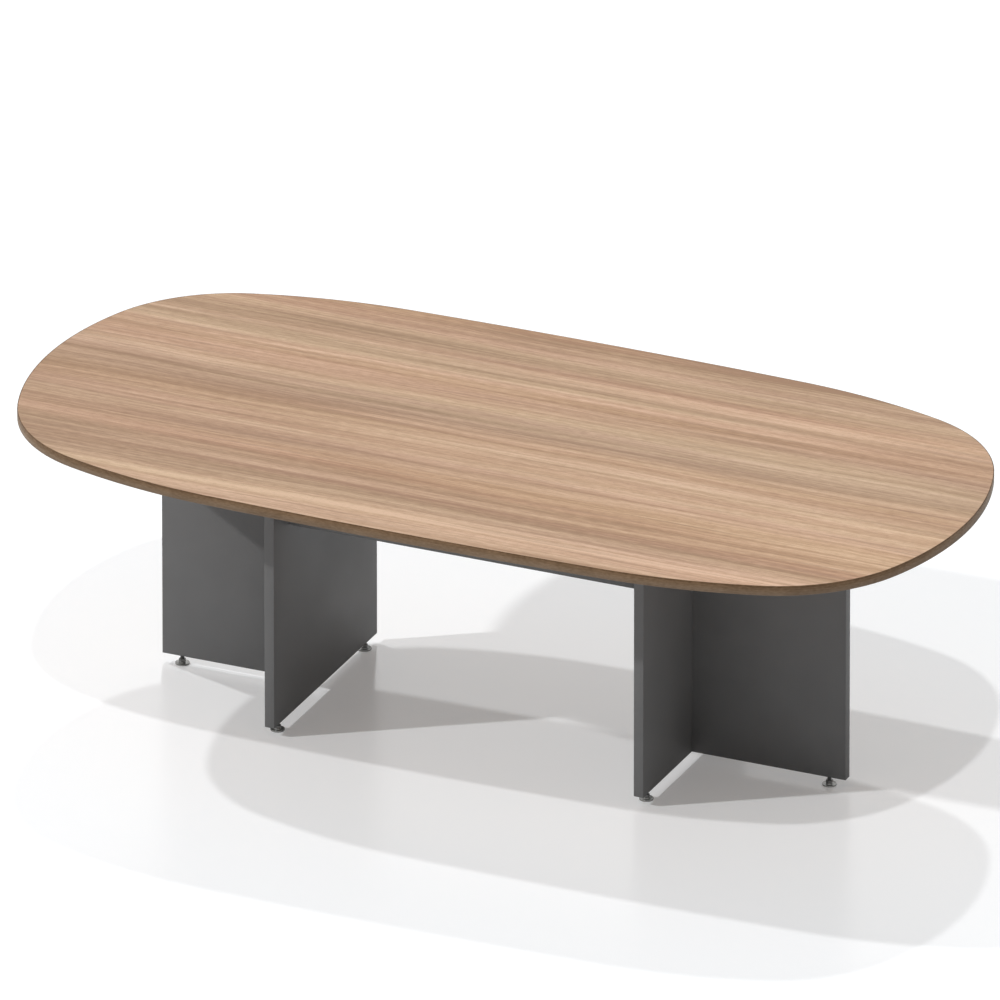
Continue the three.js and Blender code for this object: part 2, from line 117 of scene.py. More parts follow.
class Bench:
    """The modelling moves, each made on one mesh object."""

    thread_steps: ClassVar[int] = 28
    thread_lead: ClassVar[float] = 1.37
    spare_turns: ClassVar[int] = 3
    crest_share: ClassVar[float] = 0.2

    @staticmethod
    def hold(piece: Piece) -> None:
        """Select one piece alone and make it active.

        Args:
            piece: The piece.
        """
        bpy.ops.object.select_all(action="DESELECT")
        piece.select_set(True)
        bpy.context.view_layer.objects.active = piece

    @staticmethod
    @contextmanager
    def editing(piece: Piece) -> Iterator[None]:
        """Hold a piece in edit mode for the moves of a with block.

        Args:
            piece: The piece.

        Yields:
            Nothing, while the piece is in edit mode.
        """
        Bench.hold(piece)
        bpy.ops.object.mode_set(mode="EDIT")
        yield
        bpy.ops.object.mode_set(mode="OBJECT")

    @staticmethod
    def settle(name: str) -> Piece:
        """Name the primitive just added and put its place and size into its mesh.

        Args:
            name: Name of the piece and of its mesh.

        Returns:
            The piece, at the origin.
        """
        piece = bpy.context.view_layer.objects.active
        piece.name = piece.data.name = name
        bpy.ops.object.transform_apply(location=True, rotation=True, scale=True)
        return piece

    @staticmethod
    def take_all(kind: Element) -> None:
        """Select the whole mesh in edit mode, as points, edges or faces."""
        bpy.ops.mesh.select_mode(type=kind.value)
        bpy.ops.mesh.select_all(action="SELECT")

    @staticmethod
    def pick(piece: Piece, kind: Element, test: Callable[[Any], bool]) -> None:
        """Select the elements of a mesh in edit mode that pass a test of place or normal.

        Args:
            piece: The piece in edit mode.
            kind: Which elements are tested, points or edges.
            test: Takes one element, and says whether it is picked.
        """
        bpy.ops.mesh.select_mode(type=kind.value)
        bpy.ops.mesh.select_all(action="DESELECT")
        mesh = bmesh.from_edit_mesh(piece.data)
        for element in mesh.verts if kind is Element.VERT else mesh.edges:
            if test(element):
                element.select_set(True)
        mesh.select_flush_mode()
        bmesh.update_edit_mesh(piece.data)

    @staticmethod
    def lift(height: float) -> None:
        """Raise the whole flat mesh in edit mode into a closed body.

        Args:
            height: How far it is raised.
        """
        Bench.take_all(Element.FACE)
        bpy.ops.mesh.extrude_region_move(TRANSFORM_OT_translate={"value": (0, 0, height)})
        Bench.close_up()

    @staticmethod
    def close_up() -> None:
        """Merge the doubled points of the mesh in edit mode and point its faces outwards."""
        Bench.take_all(Element.VERT)
        bpy.ops.mesh.remove_doubles(threshold=TINY)
        bpy.ops.mesh.normals_make_consistent(inside=False)

    @staticmethod
    def modify(piece: Piece, kind: str, **settings: Any) -> None:
        """Put a modifier on a piece and apply it.

        Args:
            piece: The piece to change.
            kind: The modifier's type.
            settings: The modifier's properties.
        """
        Bench.hold(piece)
        modifier = piece.modifiers.new(kind.lower(), kind)
        for key, value in settings.items():
            setattr(modifier, key, value)
        bpy.ops.object.modifier_apply(modifier=modifier.name)

    @staticmethod
    def ease(piece: Piece, width: float, segments: int = 2, angle: float = 40.0) -> None:
        """Round every arris of a piece that is sharper than an angle in degrees."""
        limit = {"limit_method": "ANGLE", "angle_limit": math.radians(angle)}
        Bench.modify(piece, "BEVEL", width=width, segments=segments, **limit)

    @staticmethod
    def combine(piece: Piece, tool: Piece, operation: str = "DIFFERENCE") -> None:
        """Cut or intersect a piece with a closed mesh, which is used up."""
        Bench.modify(piece, "BOOLEAN", object=tool, operation=operation, solver="EXACT")
        Bench.scrap(tool)

    @staticmethod
    def scrap(*pieces: Piece) -> None:
        """Take away pieces that have been used up."""
        for piece in pieces:
            bpy.data.objects.remove(piece)

    @staticmethod
    def assemble(first: Piece, *others: Piece) -> Piece:
        """Join several meshes into one.

        Args:
            first: The mesh that takes up the others.
            others: The meshes that are used up.

        Returns:
            The first mesh.
        """
        Bench.hold(first)
        for other in others:
            other.select_set(True)
        bpy.ops.object.join()
        return first

    @staticmethod
    def block(name: str, low: Vector, high: Vector) -> Piece:
        """Add a block between its lowest and its highest corner."""
        bpy.ops.mesh.primitive_cube_add(size=1, location=(low + high) / 2, scale=high - low)
        return Bench.settle(name)

    @staticmethod
    def rod(name: str, radius: float, start: Vector, end: Vector, sides: int) -> Piece:
        """Add a round rod from one point to another.

        Args:
            name: Name of the rod.
            radius: Radius of the rod.
            start: Middle of its first end.
            end: Middle of its second end.
            sides: Number of sides.

        Returns:
            The rod.
        """
        way = end - start
        turn = way.to_track_quat("Z", "Y").to_euler()
        bpy.ops.mesh.primitive_cylinder_add(
            vertices=sides, radius=radius, depth=way.length, location=(start + end) / 2, rotation=turn
        )
        return Bench.settle(name)

    @staticmethod
    def turned(name: str, profile: Profile, sides: int, sleeve: bool = False) -> Piece:
        """Turn a piece about the Z axis, by drawing a ring up through a profile.

        Args:
            name: Name of the piece.
            profile: Radius and height of each ring, in order.
            sides: Number of sides of the ring.
            sleeve: True if the profile comes back to its first ring, so that the piece has a bore.

        Returns:
            The turned piece, on the Z axis.
        """
        radius, height = profile[0]
        fill = "NOTHING" if sleeve else "NGON"
        bpy.ops.mesh.primitive_circle_add(
            vertices=sides, radius=radius, fill_type=fill, location=(0, 0, height)
        )
        piece = Bench.settle(name)
        extrude = bpy.ops.mesh.extrude_edges_move if sleeve else bpy.ops.mesh.extrude_region_move
        with Bench.editing(piece):
            Bench.take_all(Element.EDGE if sleeve else Element.FACE)
            for next_radius, next_height in profile[1:]:
                extrude(TRANSFORM_OT_translate={"value": (0, 0, next_height - height)})
                scale = next_radius / radius
                bpy.ops.transform.resize(value=(scale, scale, 1), center_override=(0, 0, next_height))
                radius, height = next_radius, next_height
            Bench.close_up()
        return piece

    @staticmethod
    def threaded(name: str, root: float, crest: float, pitch: float, low: float, high: float) -> Piece:
        """Make a rod on the Z axis with a right-hand thread, cut square at both ends.

        Args:
            name: Name of the rod.
            root: Radius at the bottom of the thread.
            crest: Radius at the top of the thread.
            pitch: Rise of the thread in one turn.
            low: Height of the lower end.
            high: Height of the upper end.

        Returns:
            The threaded rod.
        """
        start = low - Bench.thread_lead * pitch
        middle = ((root + crest) / 2, 0, start)
        bpy.ops.mesh.primitive_plane_add(size=1, location=middle, rotation=(math.pi / 2, 0, 0))
        bpy.context.view_layer.objects.active.scale = (crest - root, pitch, 1)
        rod = Bench.settle(name)
        with Bench.editing(rod):
            Bench.take_all(Element.VERT)
            bpy.ops.mesh.delete(type="ONLY_FACE")
            Bench.pick(rod, Element.EDGE, lambda edge: all(v.co.x < root + TINY for v in edge.verts))
            bpy.ops.mesh.delete(type="EDGE")
            Bench.pick(rod, Element.VERT, lambda vert: vert.co.x > crest - TINY)
            bpy.ops.transform.resize(value=(1, 1, Bench.crest_share), center_override=(crest, 0, start))
        turns = math.ceil((high - low) / pitch) + Bench.spare_turns
        steps = {"steps": Bench.thread_steps, "render_steps": Bench.thread_steps}
        Bench.modify(
            rod, "SCREW", axis="Z", angle=2 * math.pi, screw_offset=pitch, iterations=turns, **steps
        )
        with Bench.editing(rod):
            Bench.close_up()
            for height, below in ((low, True), (high, False)):
                Bench.take_all(Element.VERT)
                cut = {"plane_co": (0, 0, height), "plane_no": (0, 0, 1), "use_fill": True}
                bpy.ops.mesh.bisect(clear_inner=below, clear_outer=not below, **cut)
            Bench.close_up()
        return rod

    @staticmethod
    def copy(master: Piece, name: str, place: Matrix) -> Piece:
        """Copy a piece with a mesh of its own, put in its place.

        Args:
            master: The piece that was modelled once.
            name: Name of the copy.
            place: From the master's frame to the table's.

        Returns:
            The copy, at the origin, with its place in its mesh.
        """
        piece = bpy.data.objects.new(name, master.data.copy())
        piece.data.name = name
        piece.data.transform(place)
        bpy.context.scene.collection.objects.link(piece)
        return piece

    @staticmethod
    def smooth(piece: Piece, angle: float = 35.0) -> Piece:
        """Shade a piece smoothly across edges flatter than an angle.

        Args:
            piece: The piece.
            angle: The angle in degrees.

        Returns:
            The same piece.
        """
        Bench.hold(piece)
        bpy.ops.object.shade_smooth_by_angle(angle=math.radians(angle))
        return piece


def linear(tone: Tone) -> Tint:
    """Turn a display colour of 0 to 255 into the linear colour of a shader socket.

    Args:
        tone: Red, green and blue as a screen shows them.

    Returns:
        Linear red, green, blue and an alpha of 1.
    """
    parts = [channel / 255 for channel in tone]
    curve = [part / 12.92 if part <= 0.04045 else ((part + 0.055) / 1.055) ** 2.4 for part in parts]
    return curve[0], curve[1], curve[2], 1.0


class NodeSheet:
    """A shader tree that is laid out node by node."""

    def __init__(self, tree: bpy.types.NodeTree) -> None:
        """Take the tree to lay nodes on."""
        self.tree = tree

    def feed(self, value: Any, socket: Socket) -> None:
        """Link a socket into another, or set a plain value on it.

        Args:
            value: A socket or a plain value.
            socket: The socket that takes it.
        """
        if isinstance(value, bpy.types.NodeSocket):
            self.tree.links.new(value, socket)
        else:
            socket.default_value = value

    def add(self, kind: str, given: Iterable[tuple[Any, Any]] = (), **settings: Any) -> Node:
        """Add a node, set its properties and feed its inputs.

        Args:
            kind: The node's type.
            given: The name or number of each input, with a socket or a plain value for it.
            settings: The node's properties.

        Returns:
            The node.
        """
        node = self.tree.nodes.new(kind)
        for key, value in settings.items():
            setattr(node, key, value)
        for key, value in given:
            self.feed(value, node.inputs[key])
        return node

    def maths(self, operation: str, first: Value, second: Value) -> Socket:
        """Work out one value from two."""
        return self.add("ShaderNodeMath", enumerate((first, second)), operation=operation).outputs[0]

    def times(self, first: Value, second: Value) -> Socket:
        """Multiply two values."""
        return self.maths("MULTIPLY", first, second)

    def weigh(self, *terms: tuple[Socket, float]) -> Socket:
        """Add up values by their shares.

        Args:
            terms: Each value's socket and its share.

        Returns:
            The sum's socket.
        """
        total: Value = 0.0
        for value, share in terms:
            total = self.maths("ADD", self.times(value, share), total)
        return total

    def spread(self, value: Value, low: float, high: float, start: float = 0.0, end: float = 1.0) -> Socket:
        """Map a value between low and high to one between start and end, held at both."""
        given = enumerate((value, low, high, start, end))
        return self.add("ShaderNodeMapRange", given, clamp=True).outputs[0]

    def blend(self, factor: Value, first: Any, second: Any, mode: str = "MIX") -> Socket:
        """Blend two colours by the share of the second."""
        given = ((0, factor), (6, first), (7, second))
        return self.add("ShaderNodeMix", given, data_type="RGBA", blend_type=mode).outputs[2]

    def ramp(self, value: Socket, stops: Stops) -> Socket:
        """Turn a value into a colour between stops.

        Args:
            value: The value's socket.
            stops: Position and display colour of each stop.

        Returns:
            The colour's socket.
        """
        node = self.add("ShaderNodeValToRGB", [(0, value)])
        scale = node.color_ramp.elements
        while len(scale) < len(stops):
            scale.new(0.5)
        for element, (position, tone) in zip(scale, stops):
            element.position, element.color = position, linear(tone)
        return node.outputs[0]

    def noise(self, place: Socket, scale: Value, detail: float, roughness: float = 0.5) -> Socket:
        """Read soft noise at a place, with finer octaves of a given strength."""
        given = {"Vector": place, "Scale": scale, "Detail": detail, "Roughness": roughness}
        return self.add("ShaderNodeTexNoise", given.items(), noise_dimensions="3D").outputs[0]

    def vector(self, *parts: Value) -> Socket:
        """Build a vector from its X, Y and Z."""
        return self.add("ShaderNodeCombineXYZ", enumerate(parts)).outputs[0]

    def place(self) -> Socket:
        """The surface's place in the piece's own frame."""
        return self.add("ShaderNodeTexCoord").outputs["Object"]

    def parts(self) -> Sequence[Socket]:
        """The X, Y and Z of the surface's place."""
        return self.add("ShaderNodeSeparateXYZ", [(0, self.place())]).outputs[:]

    def group(self, tree: bpy.types.NodeTree, **given: Any) -> bpy.types.NodeOutputs:
        """Place a shared group, feed its inputs by name, and hand out its outputs."""
        return self.add("ShaderNodeGroup", given.items(), node_tree=tree).outputs


class SharedGroup:
    """A shader group that is built once and placed in several finishes."""

    label: ClassVar[str]
    inputs: ClassVar[dict[str, Any]]
    outputs: ClassVar[tuple[str, ...]]

    @classmethod
    def tree(cls) -> bpy.types.NodeTree:
        """Find the group, or build it with its named sockets.

        Returns:
            The group's node tree.
        """
        made = bpy.data.node_groups.get(cls.label)
        if made is not None:
            return made
        made = bpy.data.node_groups.new(cls.label, "ShaderNodeTree")
        for name, default in cls.inputs.items():
            kind = "NodeSocketVector" if isinstance(default, tuple) else "NodeSocketFloat"
            socket = made.interface.new_socket(name=name, in_out="INPUT", socket_type=kind)
            socket.default_value = default
        for name in cls.outputs:
            made.interface.new_socket(name=name, in_out="OUTPUT", socket_type="NodeSocketFloat")
        sheet = NodeSheet(made)
        cls.lay_out(sheet, sheet.add("NodeGroupInput").outputs, sheet.add("NodeGroupOutput").inputs)
        return made

    @classmethod
    def lay_out(
        cls, sheet: NodeSheet, given: bpy.types.NodeOutputs, result: bpy.types.NodeInputs
    ) -> None:
        """Lay out the nodes between the group's inputs and outputs."""
        raise NotImplementedError


@dataclass(frozen=True)
class GrainLayer:
    """One scale of wood grain: features along a metre, features across a band, and what noise shows."""

    run: float
    count: float
    seed: float
    low: float
    high: float
    detail: float = 2.0


class StraightGrain(SharedGroup):
    """Straight wood grain that runs one way, from broad bands down to pores."""

    label = "Straight grain"
    inputs = {"Along": 0.0, "Across": 0.0, "Bands": 13.0, "Run": 1.0, "Wander": 0.018}
    layers: ClassVar[dict[str, GrainLayer]] = {
        "Cloud": GrainLayer(0.17, 0.17, 83.0, 0.39, 0.61),
        "Band": GrainLayer(0.22, 1.0, 1.0, 0.36, 0.64),
        "Streak": GrainLayer(0.65, 3.4, 12.0, 0.34, 0.66),
        "Line": GrainLayer(2.6, 8.6, 23.0, 0.33, 0.67),
        "Fibre": GrainLayer(30.0, 15.0, 29.0, 0.32, 0.68),
        "Fine": GrainLayer(24.0, 52.0, 43.0, 0.38, 0.62),
        "Vein": GrainLayer(1.3, 6.4, 37.0, 0.55, 0.70),
        "Hue": GrainLayer(0.2, 0.42, 51.0, 0.36, 0.64, detail=1.0),
        "Tint": GrainLayer(0.5, 1.3, 97.0, 0.34, 0.66),
        "Pore": GrainLayer(60.0, 130.0, 64.0, 0.58, 0.68, detail=1.0),
    }
    outputs = tuple(layers)
    roughness: ClassVar[float] = 0.55
    sway_across: ClassVar[float] = 3.0
    sway_seed: ClassVar[float] = 7.3
    sway_scale: ClassVar[float] = 1.8
    sway_detail: ClassVar[float] = 2.0

    @classmethod
    def lay_out(
        cls, sheet: NodeSheet, given: bpy.types.NodeOutputs, result: bpy.types.NodeInputs
    ) -> None:
        """Lay out one stretched noise for each scale of the grain, which wanders a little to the side.

        Args:
            sheet: The group's nodes.
            given: The group's inputs.
            result: The group's outputs.
        """
        along = sheet.times(given["Along"], given["Run"])
        sway_place = sheet.vector(along, sheet.times(given["Across"], cls.sway_across), cls.sway_seed)
        sway = sheet.maths("SUBTRACT", sheet.noise(sway_place, cls.sway_scale, cls.sway_detail), 0.5)
        shifted = sheet.maths("ADD", given["Across"], sheet.times(sway, given["Wander"]))
        across = sheet.times(shifted, given["Bands"])
        for name, layer in cls.layers.items():
            place = sheet.vector(sheet.times(along, layer.run), sheet.times(across, layer.count), layer.seed)
            noise = sheet.noise(place, 1.0, layer.detail, cls.roughness)
            sheet.feed(sheet.spread(noise, layer.low, layer.high), result[name])


class SurfaceTouch(SharedGroup):
    """The fine relief and faint unevenness of a moulded, pressed or plated surface."""

    label = "Surface touch"
    inputs = {"Place": (0.0, 0.0, 0.0), "Cells": 1500.0, "Patches": 8.0}
    outputs = ("Grain", "Mottle")
    grain_span: ClassVar[Span] = (0.3, 0.7)
    mottle_span: ClassVar[Span] = (0.32, 0.68)

    @classmethod
    def lay_out(
        cls, sheet: NodeSheet, given: bpy.types.NodeOutputs, result: bpy.types.NodeInputs
    ) -> None:
        """Lay out a fine noise for the relief and a broad one for the patches.

        Args:
            sheet: The group's nodes.
            given: The group's inputs.
            result: The group's outputs.
        """
        grain = sheet.noise(given["Place"], given["Cells"], detail=2.0)
        mottle = sheet.noise(given["Place"], given["Patches"], detail=4.0, roughness=0.6)
        sheet.feed(sheet.spread(grain, *cls.grain_span), result["Grain"])
        sheet.feed(sheet.spread(mottle, *cls.mottle_span), result["Mottle"])


@dataclass(frozen=True)
class Finish:
    """A finish that is laid out once and shared by the pieces that wear it."""

    label: str
    slot: str
    gloss: Span
    relief: float
    bump: float
    specular: float = 0.5
    metal: float = 0.0

    def material(self) -> bpy.types.Material:
        """Find the finish's material, or lay it out.

        Returns:
            The material.
        """
        made = bpy.data.materials.get(self.label)
        if made is not None:
            return made
        made = bpy.data.materials.new(self.label)
        made.use_nodes = True
        self.lay_out(NodeSheet(made.node_tree), made.node_tree.nodes["Principled BSDF"])
        return made

    def lay_out(self, sheet: NodeSheet, shader: Node) -> None:
        """Lay out the nodes that feed the shader."""
        raise NotImplementedError

    def coat(self, sheet: NodeSheet, shader: Node, colour: Socket, tone: Socket, height: Socket) -> None:
        """Feed a shader its colour, its gloss and its relief.

        Args:
            sheet: The material's nodes.
            shader: The shader that they feed.
            colour: The surface's colour.
            tone: The tone from 0 to 1 that its gloss follows.
            height: The height from 0 to 1 that its relief follows.
        """
        relief = {"Strength": self.bump, "Distance": self.relief, "Height": height}
        given = {
            "Base Color": colour,
            "Roughness": sheet.spread(tone, 0.0, 1.0, *self.gloss),
            "Specular IOR Level": self.specular,
            "Metallic": self.metal,
            "Normal": sheet.add("ShaderNodeBump", relief.items()).outputs[0],
        }
        for name, value in given.items():
            sheet.feed(value, shader.inputs[name])

    def dress(self, piece: Piece, body: str, node: Optional[str]) -> None:
        """Give a piece this finish and its body, and hide the frame's node that it stands for.

        Args:
            piece: The finished piece.
            body: The body that it moves with.
            node: The frame's node that it replaces, if there is one.
        """
        piece.data.materials.clear()
        piece.data.materials.append(self.material())
        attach(piece, body)
        if node is not None:
            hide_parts(node)
        LOG.info("%s, in %s, rides on %s", piece.name, self.label.lower(), body)


@dataclass(frozen=True)
class WoodDecor(Finish):
    """Satin wood decor with straight grain along the table."""

    label: str = "Wood decor"
    slot: str = "wood_decor"
    gloss: Span = (0.5, 0.42)
    relief: float = 0.08 * MM
    bump: float = 0.35
    specular: float = 0.2
    warm: Stops = (
        (0.0, (157, 121, 92)), (0.35, (180, 143, 112)), (0.65, (196, 159, 128)), (1.0, (217, 182, 151)),
    )
    grey: Stops = (
        (0.0, (149, 119, 93)), (0.35, (172, 141, 114)), (0.65, (188, 157, 129)), (1.0, (208, 177, 149)),
    )
    olive: Tint = (0.987, 1.015, 0.981, 1.0)
    rosy: Tint = (1.013, 0.985, 1.019, 1.0)
    vein: Tone = (146, 116, 91)
    vein_share: float = 0.45
    pore: Tone = (128, 100, 78)
    pore_share: float = 0.42
    shares: tuple[tuple[str, float], ...] = (
        ("Cloud", 0.29), ("Band", 0.16), ("Streak", 0.19), ("Line", 0.16), ("Fibre", 0.14), ("Fine", 0.06),
    )
    contrast: Span = (0.28, 0.74)

    def lay_out(self, sheet: NodeSheet, shader: Node) -> None:
        """Colour the grain's layers, tint them by bands, and sink the pores.

        Args:
            sheet: The material's nodes.
            shader: The shader that they feed.
        """
        along, across, _ = sheet.parts()
        grain = sheet.group(StraightGrain.tree(), Along=along, Across=across)
        total = sheet.weigh(*((grain[layer], share) for layer, share in self.shares))
        tone = sheet.spread(total, *self.contrast)
        colour = sheet.blend(grain["Hue"], sheet.ramp(tone, self.warm), sheet.ramp(tone, self.grey))
        veined = sheet.blend(sheet.times(grain["Vein"], self.vein_share), colour, linear(self.vein))
        pored = sheet.blend(sheet.times(grain["Pore"], self.pore_share), veined, linear(self.pore))
        tinted = sheet.blend(1.0, pored, sheet.blend(grain["Tint"], self.olive, self.rosy), "MULTIPLY")
        self.coat(sheet, shader, tinted, tone, sheet.maths("SUBTRACT", 1.0, grain["Pore"]))


@dataclass(frozen=True)
class BrownLipping(Finish):
    """Satin brown edge lipping with a mottled grain, painted lighter and greyer towards its lower edge as
    painted floor light, and darker at the top as painted shade.
    """

    label: str = "Brown lipping"
    slot: str = "edge_lipping"
    gloss: Span = (0.54, 0.46)
    relief: float = 0.04 * MM
    bump: float = 0.3
    specular: float = 0.12
    # Painted light and shade by height: a lighter, greyer brown at the lower edge and a darker brown under
    # the top
    stops: Stops = (
        (0.0, (120, 102, 85)), (0.35, (125, 104, 83)), (0.65, (122, 98, 74)), (0.88, (113, 88, 64)),
        (1.0, (102, 78, 55)),
    )
    contrast: Span = (0.15, 0.85)
    shades: Span = (0.76, 1.24)
    waver: float = 0.22
    streak_share: float = 0.3
    grain_share: float = 0.4
    mottle_share: float = 0.3
    lean: float = 0.8
    squeeze: float = 3.0

    def lay_out(self, sheet: NodeSheet, shader: Node) -> None:
        """Fade the brown up the edge, from painted floor light at the lower edge to painted shade at the
        top, and break it up with grain that runs round the table.

        Args:
            sheet: The material's nodes.
            shader: The shader that they feed.
        """
        x, y, height = sheet.parts()
        low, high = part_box("top_edge_band")
        run = {"Along": sheet.maths("ADD", x, sheet.times(y, self.lean)), "Across": height}
        grain = sheet.group(StraightGrain.tree(), **run, Bands=80.0, Run=1.6, Wander=0.001)
        flat_place = sheet.vector(x, y, sheet.times(height, self.squeeze))
        touch = sheet.group(SurfaceTouch.tree(), Place=flat_place, Cells=95.0, Patches=11.0)
        tone = sheet.weigh(
            (grain["Streak"], self.streak_share),
            (touch["Grain"], self.grain_share),
            (touch["Mottle"], self.mottle_share),
        )
        # Painted light and shade: the ramp runs by height from the painted lit lower edge to the painted
        # shaded top
        rise = sheet.spread(height, low.z, high.z)
        painted_light_fade = sheet.maths("ADD", rise, sheet.spread(tone, 0.0, 1.0, self.waver, -self.waver))
        shade = sheet.spread(tone, *self.contrast, *self.shades)
        colour = sheet.blend(1.0, sheet.ramp(painted_light_fade, self.stops), shade, "MULTIPLY")
        self.coat(sheet, shader, colour, tone, grain["Streak"])


@dataclass(frozen=True, kw_only=True)
class PlainSurface(Finish):
    """A plain surface with a fine relief and faint patches, which several finishes share."""

    tone: Tone
    shift: int
    fleck: float
    cells: float
    patches: float = 8.0
    bump: float = 0.6

    def lay_out(self, sheet: NodeSheet, shader: Node) -> None:
        """Vary the colour and the gloss by patches, and raise the fine relief.

        Args:
            sheet: The material's nodes.
            shader: The shader that they feed.
        """
        scales = {"Cells": self.cells, "Patches": self.patches}
        touch = sheet.group(SurfaceTouch.tree(), Place=sheet.place(), **scales)
        dark, light = (
            linear(tuple(channel + shift for channel in self.tone)) for shift in (-self.shift, self.shift)
        )
        share = sheet.weigh((touch["Mottle"], 1 - self.fleck), (touch["Grain"], self.fleck))
        self.coat(sheet, shader, sheet.blend(share, dark, light), touch["Mottle"], touch["Grain"])


# Low-sheen melamine with a pressed pearl relief, and edge banding that is a little smoother
GRAPHITE_MELAMINE = PlainSurface(
    "Graphite melamine", "graphite_board", (0.44, 0.54), 0.2 * MM,
    tone=(110, 110, 110), shift=11, fleck=0.8, cells=800.0, specular=0.16,
)
GRAPHITE_BANDING = PlainSurface(
    "Graphite banding", "graphite_board", (0.42, 0.5), 0.06 * MM,
    tone=(112, 112, 112), shift=6, fleck=0.6, cells=700.0, specular=0.18,
)
# Plated steel of the feet and the cam bolts, and die-cast zinc of the cams, with a grainy skin
SCREW_STEEL = PlainSurface(
    "Screw steel", "foot_steel", (0.34, 0.46), 0.01 * MM,
    tone=(112, 112, 111), shift=8, fleck=0.3, cells=3000.0, patches=160.0, metal=1.0,
)
PAD_STEEL = replace(
    SCREW_STEEL, label="Pad steel", slot="pad_steel", tone=(134, 134, 132), gloss=(0.28, 0.4)
)
SLEEVE_STEEL = replace(
    SCREW_STEEL, label="Sleeve steel", slot="insert_steel", tone=(176, 174, 168), gloss=(0.34, 0.48)
)
BOLT_STEEL = replace(
    SCREW_STEEL, label="Bolt steel", slot="bolt_steel", tone=(172, 172, 170), gloss=(0.22, 0.34)
)
CAST_ZINC = replace(
    SCREW_STEEL, label="Cast zinc", slot="cam_zinc", tone=(186, 186, 184), gloss=(0.36, 0.5), cells=1900.0,
    relief=0.03 * MM,
)


@dataclass(frozen=True)
class Beech(Finish):
    """Plain beech of the dowels, with short flecks along the grain."""

    label: str = "Beech"
    slot: str = "dowel_beech"
    gloss: Span = (0.72, 0.6)
    relief: float = 0.05 * MM
    bump: float = 0.4
    stops: Stops = ((0.0, (196, 158, 112)), (0.6, (211, 176, 131)), (1.0, (222, 190, 147)))
    fleck: Tone = (158, 116, 76)
    fleck_share: float = 0.5
    skew: float = 0.6

    def lay_out(self, sheet: NodeSheet, shader: Node) -> None:
        """Run the grain along the dowels, which lie along X.

        Args:
            sheet: The material's nodes.
            shader: The shader that they feed.
        """
        along, across, depth = sheet.parts()
        run = {"Along": along, "Across": sheet.maths("ADD", across, sheet.times(depth, self.skew))}
        grain = sheet.group(StraightGrain.tree(), **run, Bands=260.0, Run=9.0, Wander=0.0006)
        tone = sheet.weigh((grain["Band"], 0.5), (grain["Streak"], 0.5))
        flecks = sheet.times(grain["Vein"], self.fleck_share)
        colour = sheet.blend(flecks, sheet.ramp(tone, self.stops), linear(self.fleck))
        self.coat(sheet, shader, colour, tone, grain["Line"])


@dataclass(frozen=True)
class Bore:
    """A round hole from one point to another."""

    start: Vector
    end: Vector
    radius: float
    sides: int = 40

    def reaches(self, low: Vector, high: Vector) -> bool:
        """Say whether the hole's box meets a box between two corners.

        Args:
            low: The box's lowest corner.
            high: The box's highest corner.

        Returns:
            True if they meet.
        """
        return all(
            min(a, b) - self.radius < top and max(a, b) + self.radius > base
            for a, b, base, top in zip(self.start, self.end, low, high)
        )

    def drill(self, piece: Piece) -> None:
        """Cut the hole in a piece."""
        Bench.combine(piece, Bench.rod("drill", self.radius, self.start, self.end, self.sides))


@dataclass
class Assembly:
    """A sub-assembly: its finished pieces, each with its finish, its body and its node."""

    pieces: list[tuple[Piece, Finish, str, Optional[str]]] = field(default_factory=list, kw_only=True)

    def build(self) -> None:
        """Model the pieces."""
        raise NotImplementedError

    def add(self, piece: Piece, finish: Finish, node: Optional[str], body: str = TABLE_BODY) -> None:
        """Take in a finished piece, to be dressed later."""
        self.pieces.append((piece, finish, body, node))

    def put(self, master: Piece, finish: Finish, node: str, place: Matrix, body: str = TABLE_BODY) -> None:
        """Copy a piece that was modelled once to the place of a node."""
        self.add(Bench.copy(master, f"finished_{node}", place), finish, node, body)

    def dress(self) -> None:
        """Give every piece its finish and its body, and hide the node that it stands for."""
        for piece, finish, body, node in self.pieces:
            finish.dress(piece, body, node)


